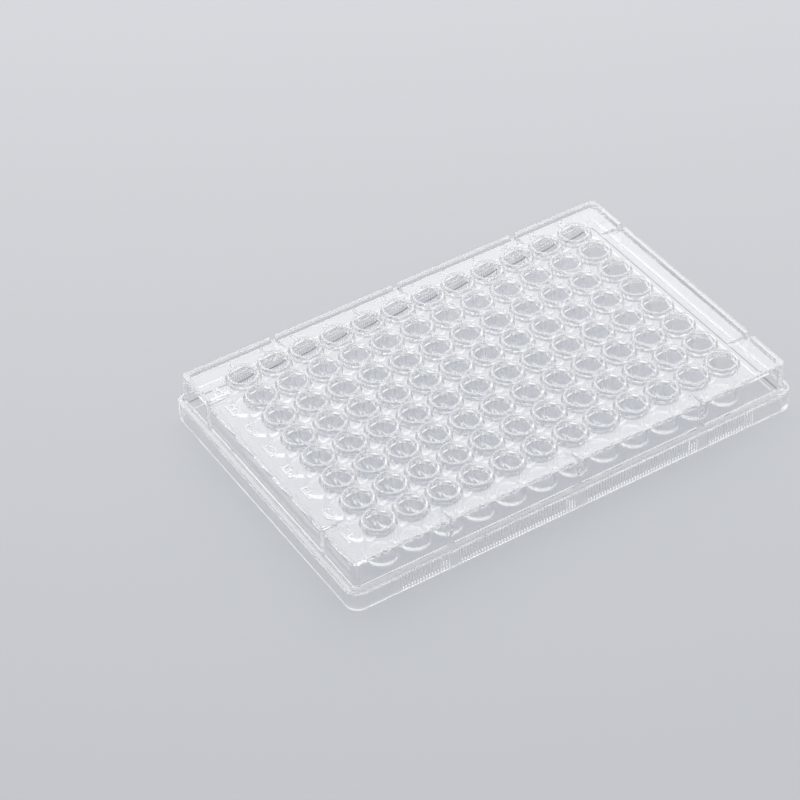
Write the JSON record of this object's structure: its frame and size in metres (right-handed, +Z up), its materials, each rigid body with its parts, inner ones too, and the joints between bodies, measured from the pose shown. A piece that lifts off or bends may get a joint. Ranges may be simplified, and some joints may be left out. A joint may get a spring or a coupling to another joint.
{
  "type": "well plate",
  "caption": "Clear one-piece microplate: a grid of flat-bottomed wells with raised collars in a deck, inside a stepped skirt with ribbed grips and vent channels.",
  "frame": {"origin": "centre of the footprint on the face the plate stands on", "axes": "+X along the columns from 1 to 12, +Y towards row A, +Z up out of the wells"},
  "size_m": [0.1278, 0.0854, 0.0142],
  "materials": {
    "clear_polystyrene": "clear glossy moulded polystyrene with a faint cool tint"
  },
  "bodies": {
    "root": {"well_plate": "clear_polystyrene"}
  },
  "joints": []
}
